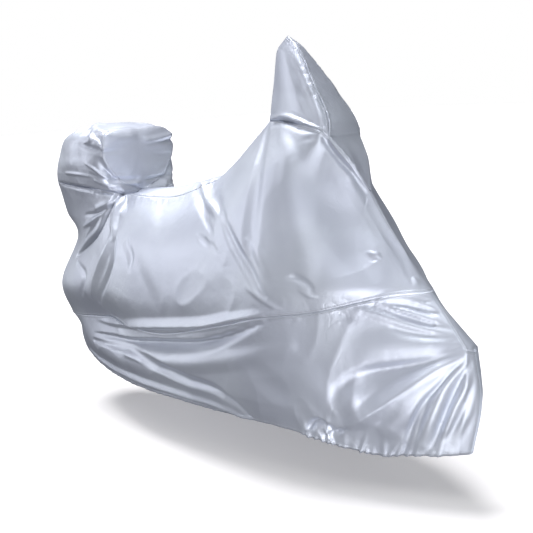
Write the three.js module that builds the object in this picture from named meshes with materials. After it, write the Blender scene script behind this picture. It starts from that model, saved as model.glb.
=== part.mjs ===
// Fitted silver cover of thin coated cloth, hollow and open below. It has a tall fin in front, a
// boxy pocket behind and a saddle between them. Millimetres. In the tables x runs forward from
// about station 5, z runs up from the ground, and halfWidth is measured outwards from the middle
// plane. A station counts the cross-sections from the rear middle line to the front one.
import * as THREE from "three";

// Driving dimensions
const clothThickness = 2;
const seamGap = 0.3;
const saddleTop = { x: -280, z: 936 };
const hemRoll = { height: 22, lift: 5, upTo: 150 };
const finBelly = 10;
const boxFrontCrown = 14;
const screenCrown = { foot: 8, above: 9, peak: 2 };
const gussetCrown = { x: 6, z: 3 };
const boxNeck = { x: -628, z: 900, halfWidth: 8 };
const landmark = { boxNeck: 3, boxSeam: 3.4, finRear: 6, finFront: 8, screenPoint: 9, nose: 10 };
const mirrorBlend = 40; // a line this close to the middle plane is rounded over it
const middleFade = 30; // folds fade out this close to the middle plane
const sharpestCorner = 0.08; // keeps the inset of a panel's sharp corner short

// Cloth colours
const silver = { color: "#b9bdcb", roughness: 0.42, metalness: 0.35 };
const shades = {
  side_right: 0, side_left: 0, skirt_right: 0.02, skirt_left: 0.02, seat_strip: -0.02, box_wrap: -0.01,
  box_front: -0.04, fin_side_right: 0.03, fin_side_left: 0.03, screen_front: -0.05, nose_gusset: 0.01,
};

// A shape line is a list of rows with these columns. A row with corner 1 breaks the curve there.
const lineColumns = ["station", "x", "z", "halfWidth", "corner"];
const bodyLines = [
  readTable(lineColumns, [ // hem
    [0, -1035, 240, 0], [0.6, -1020, 236, 75], [1, -958, 224, 120], [1.5, -805, 186, 155],
    [2, -626, 172, 192], [3, -386, 174, 235], [4, -168, 179, 250], [5, 13, 180, 250],
    [6, 166, 185, 250], [7, 368, 187, 245], [8, 515, 172, 215], [9, 620, 146, 165],
    [9.3, 690, 134, 130], [9.6, 770, 142, 96], [9.8, 850, 152, 74], [10, 918, 159, 40, 1], [11, 942, 158, 0],
  ]),
  readTable(lineColumns, [ // shin, where the skirt rounds under
    [0, -1052, 282, 0], [1, -962, 276, 132], [1.5, -812, 238, 178], [2, -632, 228, 218],
    [3, -392, 228, 258], [4, -174, 234, 272], [5, 8, 238, 275], [6, 163, 244, 276],
    [7, 362, 250, 268], [8, 514, 250, 238], [9, 652, 250, 184], [9.5, 800, 272, 122],
    [10, 955, 325, 42, 1], [11, 978, 320, 0],
  ]),
  readTable(lineColumns, [ // low line, which ends at the corner of the nose
    [0, -1075, 325, 0], [1, -968, 330, 135], [1.5, -820, 300, 190], [2, -640, 290, 235],
    [3, -400, 290, 270], [4, -180, 295, 285], [5, 0, 300, 290], [6, 160, 305, 290],
    [7, 350, 315, 280], [8, 510, 325, 245], [9, 670, 350, 180], [9.5, 800, 405, 110],
    [10, 953, 484, 28, 1], [11, 962, 476, 0],
  ]),
  readTable(lineColumns, [ // long seam between the side and the skirt
    [0, -1105, 385, 0], [1, -1000, 372, 142], [1.5, -810, 395, 185], [2, -620, 420, 205],
    [2.5, -510, 415, 225], [3, -395, 413, 250], [4, -200, 424, 270], [5, 25, 472, 290],
    [6, 190, 514, 300], [7, 350, 556, 298], [7.5, 426, 567, 270], [8, 503, 578, 235],
    [8.5, 579, 594, 200], [9, 655, 616, 150], [9.5, 736, 636, 88], [10, 804, 640, 0],
  ]),
  readTable(lineColumns, [ // waist
    [0, -1130, 500, 0], [1, -1082, 500, 138], [1.5, -930, 510, 200], [2, -680, 530, 245],
    [3, -420, 530, 272], [4, -210, 540, 285], [5, 10, 575, 297], [6, 180, 620, 298],
    [7, 350, 660, 290], [8, 505, 670, 240], [9, 650, 670, 155], [9.5, 720, 675, 76], [10, 776, 671, 0],
  ]),
  readTable(lineColumns, [ // belly
    [0, -1040, 690, 0], [1, -960, 700, 115], [1.5, -850, 680, 165], [2, -660, 690, 215],
    [3, -430, 690, 245], [4, -240, 700, 255], [5, -15, 740, 260], [6, 170, 790, 262],
    [7, 350, 820, 252], [8, 500, 800, 205], [9, 618, 760, 106], [9.5, 690, 730, 52], [10, 752, 702, 0],
  ]),
  readTable(lineColumns, [ // shoulder
    [0, -1085, 800, 0], [1, -1000, 800, 125], [1.5, -840, 800, 165], [2, -660, 810, 180],
    [3, -500, 800, 175], [4, -260, 805, 185], [5, -50, 870, 165], [6, 170, 980, 170],
    [7, 355, 1010, 180], [8, 470, 965, 120], [9, 590, 850, 46], [9.5, 658, 790, 26], [10, 730, 730, 0],
  ]),
  readTable(lineColumns, [ // foot of the box pocket, seat seam, foot of the fin, screen point, nose ridge
    [0, -1130, 925, 0], [0.5, -1105, 930, 90], [1, -1010, 930, 145], [1.5, -810, 922, 185],
    [2, -685, 913, 175], [2.5, -630, 906, 145], [3, -600, 895, 100, 1], [3.5, -450, 885, 95],
    [4, -280, 895, 85], [4.4, -165, 935, 55], [5, -80, 970, 36], [5.5, 70, 1080, 30],
    [6, 173, 1158, 30, 1], [6.5, 279, 1161, 75], [7, 369, 1152, 95], [7.5, 460, 1130, 90],
    [8, 480, 1107, 72, 1], [8.5, 538, 1028, 45], [9, 585, 931, 0, 1], [9.5, 646, 842, 0], [10, 711, 757, 0],
  ]),
];
const level = { hem: 0, low: 2, seam: 3 };
const boxLines = [
  readTable(lineColumns, [ // just above the foot
    [0, -1135, 975, 0], [1, -1005, 975, 152], [1.5, -830, 975, 193], [2, -700, 972, 188],
    [3.4, -632, 946, 105],
  ]),
  readTable(lineColumns, [ // middle
    [0, -1125, 1030, 0], [1, -985, 1030, 150], [1.5, -840, 1035, 195], [2, -740, 1038, 192],
    [3.4, -636, 1040, 168],
  ]),
  readTable(lineColumns, [ // upper edge
    [0, -1090, 1105, 0], [1, -965, 1112, 118], [1.5, -840, 1122, 160], [2, -740, 1128, 160],
    [3.4, -640, 1130, 142],
  ]),
  readTable(lineColumns, [ // middle line of the top
    [0, -1040, 1135, 0], [1, -960, 1152, 0], [1.5, -850, 1162, 0], [2, -740, 1158, 0],
    [3.4, -642, 1142, 0],
  ]),
];
const finRear = readTable(lineColumns, [
  [0, 173, 1158, 30], [1, 187, 1220, 30], [2, 195, 1272, 25], [3, 208, 1369, 18], [4, 215, 1396, 12],
]);
const finFront = readTable(lineColumns, [ // the puckered seam
  [0, 480, 1107, 72], [0.5, 474, 1147, 60], [1, 455, 1184, 51], [1.5, 428, 1224, 44], [2, 403, 1264, 43],
  [2.5, 366, 1313, 31], [3, 335, 1355, 20], [3.5, 301, 1396, 12], [4, 251, 1430, 3],
]);

// Folds in the cloth of each side, seen from the side. A fold runs from its first point to its
// second, bowed sideways in the middle, and its width and lift change along it. A trough has a
// negative lift.
const foldColumns = ["x1", "z1", "x2", "z2", "bow", "width1", "width2", "lift1", "lift2"];
const foldsRight = readTable(foldColumns, [
  [940, 478, 570, 198, -14, 22, 50, 6, 15], // long ridge from the nose to the hem
  [942, 462, 764, 150, 22, 18, 36, -5, -15],
  [948, 450, 838, 157, 16, 16, 30, -4, -12],
  [952, 440, 890, 165, 8, 14, 24, -3, -10],
  [930, 482, 640, 372, -16, 24, 52, -6, -16], // soft valley above the ridge
  [920, 508, 560, 470, 0, 26, 60, 3, 9],
  [904, 546, 655, 610, -6, 18, 24, -8, -7],
  [880, 584, 690, 622, -4, 16, 18, -6, -5],
  [-760, 350, -180, 396, 0, 40, 45, -12, -16], // hollow below the long seam
  [-180, 396, 440, 548, -12, 45, 24, -16, -4],
  [-700, 478, -120, 492, 0, 50, 62, 8, 15], // the side sags over the long seam
  [-120, 492, 330, 610, 10, 62, 40, 15, 6],
  [460, 1126, 640, 850, 6, 24, 34, 6, 7], // roll beside the screen point
  [438, 1088, 720, 660, 20, 44, 60, 3, 8],
  [300, 1090, 486, 640, 26, 60, 70, -7, -12],
  [-20, 830, 250, 690, 0, 80, 90, 8, 11],
  [-150, 925, 126, 770, 16, 34, 44, -5, -9],
  [-90, 930, 104, 850, 10, 28, 32, 3, 6],
  [-400, 868, -450, 690, 0, 46, 60, 3, 8],
  [-575, 888, -640, 764, 14, 28, 36, -10, -18], // deep crease below the box pocket
  [-640, 764, -850, 636, 10, 36, 32, -18, -10],
  [-560, 735, -700, 600, 10, 50, 54, 12, 10],
  [-790, 632, -716, 470, 0, 38, 44, 9, 8],
  [532, 246, 466, 188, 0, 30, 26, -11, -7], // creases near the hem
  [311, 777, 398, 714, 0, 26, 24, 5, 3],
  [338, 639, 434, 585, 0, 26, 24, 5, 3],
  [475, 700, 555, 641, 0, 32, 28, -7, -4],
]);
const foldsLeft = readTable(foldColumns, [
  [940, 476, 620, 196, -10, 22, 48, 5, 14],
  [944, 460, 790, 150, 20, 18, 34, -5, -14],
  [950, 446, 872, 160, 10, 15, 28, -4, -11],
  [926, 486, 610, 380, -20, 24, 52, -5, -14],
  [900, 548, 640, 604, -4, 18, 24, -8, -7],
  [-780, 352, -120, 404, 0, 40, 45, -10, -15],
  [-120, 404, 380, 530, -8, 45, 26, -15, -5],
  [-690, 470, -60, 500, 0, 50, 60, 7, 14],
  [-60, 500, 300, 606, 10, 60, 42, 14, 5],
  [452, 1120, 630, 858, 8, 24, 34, 4, 5],
  [290, 1070, 430, 610, 30, 56, 70, -6, -13],
  [60, 850, 300, 660, -14, 70, 84, 7, 11],
  [-170, 920, 40, 760, 12, 34, 44, -5, -10],
  [-380, 862, -360, 660, 10, 42, 58, 4, 9],
  [-570, 884, -660, 748, 18, 28, 36, -9, -16],
  [-660, 748, -860, 650, 6, 36, 32, -16, -9],
  [-590, 700, -740, 560, 0, 48, 54, 10, 9],
  [430, 240, 380, 190, 0, 30, 26, -10, -6],
  [-260, 330, -320, 190, 8, 44, 38, -6, -9],
]);

// How many steps the mesh takes between whole stations and between whole levels
const stationSteps = [3, 5, 4, 4, 4, 5, 4, 4, 5, 14, 2];
const levelSteps = [4, 4, 6, 3, 3, 3, 3];
const boxSteps = [2, 3, 3, 2];
const finSteps = 14;
const stripSteps = 4;

function readTable(columns, rows) {
  return rows.map((row) => Object.fromEntries(columns.map((name, i) => [name, row[i] ?? 0])));
}

function spread(steps, from = 0, to = steps.length) {
  const stops = [from];
  for (let whole = from; whole < to; whole++) {
    for (let step = 1; step <= steps[whole]; step++) stops.push(whole + step / steps[whole]);
  }
  return stops;
}

function hermite(a, b, tangentA, tangentB, s) {
  const s2 = s * s;
  const s3 = s2 * s;
  const ends = a * (2 * s3 - 3 * s2 + 1) + b * (3 * s2 - 2 * s3);
  return ends + tangentA * (s3 - 2 * s2 + s) + tangentB * (s3 - s2);
}

// A smooth curve through the rows of a line, as a function of the station
function lineCurve(rows) {
  const coordinates = ["x", "z", "halfWidth"];
  const slope = (i, name) => (rows[i + 1][name] - rows[i][name]) / (rows[i + 1].station - rows[i].station);
  const last = rows.length - 1;
  const meetsMirror = (i) => rows[i].halfWidth === 0 && rows[i === 0 ? 1 : last - 1].halfWidth > 0;
  const tangent = (i, name, side) => {
    if ((i === 0 || i === last) && name !== "halfWidth" && meetsMirror(i)) return 0;
    if (i === 0) return slope(0, name);
    if (i === last) return slope(i - 1, name);
    if (rows[i].corner) return slope(side < 0 ? i - 1 : i, name);
    const before = rows[i].station - rows[i - 1].station;
    const after = rows[i + 1].station - rows[i].station;
    return (slope(i - 1, name) * after + slope(i, name) * before) / (before + after);
  };
  return (station) => {
    let i = rows.length - 2;
    while (i > 0 && rows[i].station > station) i--;
    const length = rows[i + 1].station - rows[i].station;
    const s = (station - rows[i].station) / length;
    return coordinates.map((name) => {
      const [leaving, arriving] = [tangent(i, name, 1) * length, tangent(i + 1, name, -1) * length];
      return hermite(rows[i][name], rows[i + 1][name], leaving, arriving, s);
    });
  };
}

// A smooth curve across the lines at one station, broken at the long seam and at the nose corner.
// Where it ends on the middle plane it arrives square to its mirror image.
function acrossLines(points, height, sharpness) {
  const last = points.length - 1;
  const i = Math.min(Math.floor(height), last - 1);
  const nearMirror = THREE.MathUtils.smoothstep(points[last - 1][2], 0, mirrorBlend);
  const roundOver = points[last][2] === 0 ? nearMirror : 0;
  const slope = (k, axis) => points[k + 1][axis] - points[k][axis];
  const tangent = (k, axis, side) => {
    if (k === 0) return slope(0, axis);
    if (k === last) return slope(last - 1, axis) * (axis < 2 ? 1 - roundOver : 1);
    const smooth = (slope(k - 1, axis) + slope(k, axis)) / 2;
    const broken = slope(side < 0 ? k - 1 : k, axis);
    return THREE.MathUtils.lerp(smooth, broken, sharpness[k] ?? 0);
  };
  return [0, 1, 2].map((axis) =>
    hermite(points[i][axis], points[i + 1][axis], tangent(i, axis, 1), tangent(i + 1, axis, -1), height - i));
}

// All points of the cover in one list, so that panels which meet share the points of their seam
const points = [];
const pointIndex = new Map();
function pointAt(x, z, out, side) {
  const y = side * out;
  const key = [x, y, z].map((value) => Math.round(value * 100)).join();
  if (!pointIndex.has(key)) {
    pointIndex.set(key, points.length);
    points.push(new THREE.Vector3(x, y, z));
  }
  return pointIndex.get(key);
}

const panels = new Map();
function addQuad(panel, a, b, c, d) {
  if (!panels.has(panel)) panels.set(panel, []);
  for (const triangle of [[a, b, c], [a, c, d]]) {
    if (new Set(triangle).size === 3) panels.get(panel).push(triangle);
  }
}

// A grid of point indexes becomes cells, turned so that they face outwards on either side
function addGrid(panel, grid, side, keep = () => true) {
  for (let row = 0; row < grid.length - 1; row++) {
    for (let column = 0; column < grid[row].length - 1; column++) {
      if (!keep(row, column)) continue;
      const [a, b] = [grid[row][column], grid[row][column + 1]];
      const [c, d] = [grid[row + 1][column + 1], grid[row + 1][column]];
      if (side > 0) addQuad(panel, a, d, c, b);
      else addQuad(panel, a, b, c, d);
    }
  }
}

const sideName = (side) => (side < 0 ? "right" : "left");
const bodyCurves = bodyLines.map(lineCurve);
const stations = spread(stationSteps);
const levels = spread(levelSteps);

function bodyGrid(side) {
  return levels.map((height) => stations.map((station) => {
    if (station > landmark.nose && height > level.low) return -1;
    const reach = station > landmark.nose ? level.low + 1 : bodyCurves.length;
    const across = bodyCurves.slice(0, reach).map((curve) => curve(station));
    const noseCorner = THREE.MathUtils.smoothstep(station, landmark.nose - 1, landmark.nose);
    const [x, z, out] = acrossLines(across, height, { [level.low]: noseCorner, [level.seam]: 1 });
    return pointAt(x, z, out, side);
  }));
}

function buildBody(side, grid) {
  const inSkirt = (row) => levels[row] < level.seam;
  const behindNose = (column) => stations[column] < landmark.nose;
  const whole = (row, column) => grid[row + 1][column + 1] >= 0 || levels[row] < level.low;
  addGrid(`skirt_${sideName(side)}`, grid, side,
    (row, column) => inSkirt(row) && whole(row, column) && (behindNose(column) || levels[row] < level.low));
  addGrid(`side_${sideName(side)}`, grid, side, (row, column) => !inSkirt(row) && behindNose(column));
}

function buildBoxWrap(side, grid) {
  const wrapStations = stations.filter((station) => station <= landmark.boxNeck);
  const foot = grid[grid.length - 1].slice(0, wrapStations.length);
  foot.push(pointAt(boxNeck.x, boxNeck.z, boxNeck.halfWidth, side));
  const footPoints = foot.map((index) => [points[index].x, points[index].z, Math.abs(points[index].y)]);
  const curves = boxLines.map(lineCurve);
  const columns = [...wrapStations, landmark.boxSeam].map((station, i) =>
    [footPoints[i], ...curves.map((curve) => curve(station))]);
  const rows = spread(boxSteps).map((height) => columns.map((across, i) => {
    if (height === 0) return foot[i];
    const [x, z, out] = acrossLines(across, height, {});
    return pointAt(x, z, Math.max(out, 0), side);
  }));
  addGrid("box_wrap", rows, side);
  return rows.map((row) => row[row.length - 1]);
}

function buildFinSide(side, grid) {
  const first = stations.indexOf(landmark.finRear);
  const last = stations.indexOf(landmark.finFront);
  const foot = grid[grid.length - 1].slice(first, last + 1);
  const rear = lineCurve(finRear);
  const front = lineCurve(finFront);
  const peak = finRear.length - 1;
  const mix = THREE.MathUtils.lerp;
  const rows = [];
  for (let row = 0; row <= finSteps; row++) {
    const v = row / finSteps;
    rows.push(foot.map((index, column) => {
      if (row === 0) return index;
      const u = column / (foot.length - 1);
      const base = [points[index].x, points[index].z, Math.abs(points[index].y)];
      const belly = finBelly * Math.sin(Math.PI * u) * Math.sin(Math.PI * v);
      const edges = (height) => [0, 1, 2].map((axis) => mix(rear(height)[axis], front(height)[axis], u));
      const [here, bottom, top] = [edges(peak * v), edges(0), edges(peak)];
      const place = [0, 1, 2].map((axis) =>
        mix(base[axis], top[axis], v) + here[axis] - mix(bottom[axis], top[axis], v));
      return pointAt(place[0], place[1], place[2] + belly, side);
    }));
  }
  addGrid(`fin_side_${sideName(side)}`, rows, side);
  return rows;
}

// A panel between matching points of the right and left edge, raised to a crown in the middle
function buildLadder(panel, rungs, crown, facing) {
  const grid = rungs.map(([right, left, middle], row) => {
    if (middle) return middle;
    const a = points[right];
    const b = points[left];
    const [liftX, liftZ] = crown(row);
    const rung = [right];
    for (let step = 1; step < stripSteps; step++) {
      const s = step / stripSteps;
      const arch = 4 * s * (1 - s);
      const y = a.y + (b.y - a.y) * s;
      rung.push(right === left ? right : pointAt(a.x + liftX * arch, a.z + liftZ * arch, y, 1));
    }
    rung.push(left);
    return rung;
  });
  addGrid(panel, grid, facing);
}

const grids = { right: bodyGrid(-1), left: bodyGrid(1) };
const fins = {};
const boxSeams = {};
for (const [name, side] of [["right", -1], ["left", 1]]) {
  buildBody(side, grids[name]);
  boxSeams[name] = buildBoxWrap(side, grids[name]);
  fins[name] = buildFinSide(side, grids[name]);
}
const pairs = (right, left) => right.map((index, i) => [index, left[i]]);
const topRow = (name) => grids[name][levels.length - 1];

function neckRung() {
  return [-1, 0, 1].map((side) => pointAt(boxNeck.x, boxNeck.z, Math.abs(side) * boxNeck.halfWidth, side));
}

function buildSeatStrip() {
  const first = stations.indexOf(landmark.boxNeck);
  const last = stations.indexOf(landmark.finRear);
  const edge = (name) => [
    ...topRow(name).slice(first, last + 1),
    ...fins[name].slice(1).map((row) => row[0]),
    ...fins[name][finSteps].slice(1),
  ];
  const rungs = pairs(edge("right"), edge("left"));
  const crowns = readTable(["station", "x", "z"], [
    [3, -28, 5], [3.4, -6, 24], [4, 0, 42], [4.4, 0, 24], [5, -2, 12], [6, -6, 2], [7, -6, 0], [8, -2, 1],
  ]);
  const finFoot = last - first;
  const crown = (row) => {
    const upTheFin = (row - finFoot) * 2 / finSteps;
    const station = row <= finFoot ? stations[first + row] : landmark.finRear + upTheFin;
    const next = crowns.findIndex((entry) => entry.station > station);
    const [a, b] = next < 0 ? [crowns.at(-2), crowns.at(-1)] : [crowns[next - 1], crowns[next]];
    const s = Math.min((station - a.station) / (b.station - a.station), 1);
    return ["x", "z"].map((axis) => THREE.MathUtils.lerp(a[axis], b[axis], s));
  };
  const [right, left] = rungs[0];
  rungs[0] = [right, left, [right, ...neckRung(), left]];
  buildLadder("seat_strip", rungs, crown, 1);
}

function buildBoxFront() {
  const cornerRow = boxSteps[0] + boxSteps[1] + boxSteps[2];
  const right = boxSeams.right;
  const left = boxSeams.left;
  const rungs = pairs(right, left).slice(0, cornerRow + 1);
  const top = [...right.slice(cornerRow), ...left.slice(cornerRow, -1).reverse()];
  rungs[0] = [right[0], left[0], [right[0], ...neckRung(), left[0]]];
  rungs[cornerRow] = [right[cornerRow], left[cornerRow], top];
  const easeIn = boxSteps[0] + 2;
  buildLadder("box_front", rungs, (row) => [boxFrontCrown * Math.min(row / easeIn, 1), 0], -1);
}

function buildScreenFront() {
  const point = stations.indexOf(landmark.screenPoint);
  const corner = stations.indexOf(landmark.finFront);
  const edge = (name) => [
    ...topRow(name).slice(corner, point + 1).reverse(),
    ...fins[name].slice(1).map((row) => row[row.length - 1]),
  ];
  const pointRows = point - corner;
  const crown = (row) => {
    if (row <= pointRows) return [screenCrown.foot * (row / pointRows), 0];
    return [THREE.MathUtils.lerp(screenCrown.above, screenCrown.peak, (row - pointRows) / finSteps), 0];
  };
  buildLadder("screen_front", pairs(edge("right"), edge("left")), crown, -1);
}

function buildNoseGusset() {
  const corner = stations.indexOf(landmark.nose);
  const low = levels.indexOf(level.low);
  const seam = levels.indexOf(level.seam);
  const edge = (name) => grids[name].slice(low, seam + 1).map((row) => row[corner]);
  const rungs = pairs(edge("right"), edge("left"));
  const nose = (name) => grids[name][low].slice(corner);
  rungs[0] = [rungs[0][0], rungs[0][1], [...nose("right"), ...nose("left").slice(0, -1).reverse()]];
  const rows = rungs.length - 1;
  const crown = (row) => [gussetCrown.x * (1 - row / rows), gussetCrown.z * (1 - row / rows)];
  buildLadder("nose_gusset", rungs, crown, -1);
}

buildSeatStrip();
buildBoxFront();
buildScreenFront();
buildNoseGusset();

function pointNormals() {
  const normals = points.map(() => new THREE.Vector3());
  const [ab, ac, cross] = [new THREE.Vector3(), new THREE.Vector3(), new THREE.Vector3()];
  for (const triangles of panels.values()) {
    for (const triangle of triangles) {
      const [a, b, c] = triangle.map((index) => points[index]);
      cross.crossVectors(ab.subVectors(b, a), ac.subVectors(c, a));
      for (const index of triangle) normals[index].add(cross);
    }
  }
  return normals.map((normal) => normal.normalize());
}

// Height of one fold over a point, from its distance to the fold's bowed line
function foldLift(fold, x, z) {
  const dx = fold.x2 - fold.x1;
  const dz = fold.z2 - fold.z1;
  const length = Math.hypot(dx, dz);
  const along = THREE.MathUtils.clamp(((x - fold.x1) * dx + (z - fold.z1) * dz) / length ** 2, 0, 1);
  const bow = fold.bow * 4 * along * (1 - along);
  const lineX = fold.x1 + dx * along - (dz / length) * bow;
  const lineZ = fold.z1 + dz * along + (dx / length) * bow;
  const width = THREE.MathUtils.lerp(fold.width1, fold.width2, along);
  const distance = Math.hypot(x - lineX, z - lineZ) / width;
  if (distance >= 1) return 0;
  return THREE.MathUtils.lerp(fold.lift1, fold.lift2, along) * (1 - distance ** 2) ** 2;
}

function shapeFolds() {
  const normals = pointNormals();
  const hem = bodyCurves[level.hem];
  const hemHeights = stations.map((station) => hem(station));
  points.forEach((point, i) => {
    const folds = point.y < 0 ? foldsRight : foldsLeft;
    let lift = folds.reduce((sum, fold) => sum + foldLift(fold, point.x, point.z), 0);
    const nearest = hemHeights.reduce((best, place) =>
      (Math.abs(place[0] - point.x) < Math.abs(best[0] - point.x) ? place : best));
    const roll = (point.z - nearest[1] - hemRoll.height) / hemRoll.height;
    if (point.x < hemRoll.upTo && Math.abs(roll) < 1) lift += hemRoll.lift * (1 - roll ** 2);
    const fadeToMiddle = THREE.MathUtils.smoothstep(Math.abs(point.y), 0, middleFade);
    point.addScaledVector(normals[i], lift * fadeToMiddle);
  });
}

// The edges that only one triangle of a panel uses, each with that triangle's third point
function openEdges(triangles) {
  const edges = new Map();
  for (const [a, b, c] of triangles) {
    for (const [from, to, apex] of [[a, b, c], [b, c, a], [c, a, b]]) {
      if (edges.has(`${to},${from}`)) edges.delete(`${to},${from}`);
      else edges.set(`${from},${to}`, [from, to, apex]);
    }
  }
  return [...edges.values()];
}

function inwardDirections(edges) {
  const inwards = new Map();
  for (const [from, to, apex] of edges) {
    const along = points[to].clone().sub(points[from]).normalize();
    const inward = points[apex].clone().sub(points[from]);
    inward.addScaledVector(along, -inward.dot(along)).normalize();
    for (const index of [from, to]) {
      if (!inwards.has(index)) inwards.set(index, []);
      inwards.get(index).push(inward);
    }
  }
  return inwards;
}

// Each panel's open edge is drawn in by half the seam gap, then the sheet is given its thickness
function thicken(triangles, normals) {
  const edges = openEdges(triangles);
  const inwards = inwardDirections(edges);
  const used = [...new Set(triangles.flat())];
  const place = new Map(used.map((index, i) => [index, i]));
  const outer = used.map((index) => {
    const moved = points[index].clone();
    const directions = inwards.get(index) ?? [];
    const mean = directions.reduce((sum, direction) => sum.add(direction), new THREE.Vector3());
    if (directions.length > 0) {
      mean.normalize();
      moved.addScaledVector(mean, seamGap / 2 / Math.max(mean.dot(directions[0]), sharpestCorner));
    }
    return moved.addScaledVector(normals[index], clothThickness / 2);
  });
  const inner = outer.map((point, i) => point.clone().addScaledVector(normals[used[i]], -clothThickness));
  const positions = [...outer, ...inner].flatMap((point) => point.toArray());
  const faces = [];
  for (const [a, b, c] of triangles.map((triangle) => triangle.map((index) => place.get(index)))) {
    faces.push(a, b, c, a + used.length, c + used.length, b + used.length);
  }
  for (const [from, to] of edges) {
    const [a, b] = [place.get(from), place.get(to)];
    const [underA, underB] = [a + used.length, b + used.length];
    // Both panels at a seam split their edge wall along the same diagonal
    if (from < to) faces.push(b, a, underA, b, underA, underB);
    else faces.push(b, a, underB, a, underA, underB);
  }
  const geometry = new THREE.BufferGeometry();
  geometry.setAttribute("position", new THREE.Float32BufferAttribute(positions, 3));
  geometry.setIndex(faces);
  geometry.computeVertexNormals();
  return geometry;
}

shapeFolds();
const finalNormals = pointNormals();
const cover = new THREE.Group();
cover.name = "scooter_cover";
for (const [name, triangles] of panels) {
  const material = new THREE.MeshStandardMaterial(silver);
  material.color.offsetHSL(0, 0, shades[name]);
  const mesh = new THREE.Mesh(thicken(triangles, finalNormals), material);
  mesh.name = name;
  cover.add(mesh);
}
// The origin is the point under the seat strip where the cover is held up
cover.position.set(-saddleTop.x, 0, -saddleTop.z);
cover.updateMatrixWorld(true);

export default cover;
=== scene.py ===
# A fitted cover of thin silver-coated cloth, hollow and open below, hanging in soft folds.
# It has a tall fin in front, a boxy pocket behind and a saddle between them.
import math

import bpy
import numpy as np
from mathutils import Matrix, Vector, noise


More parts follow.
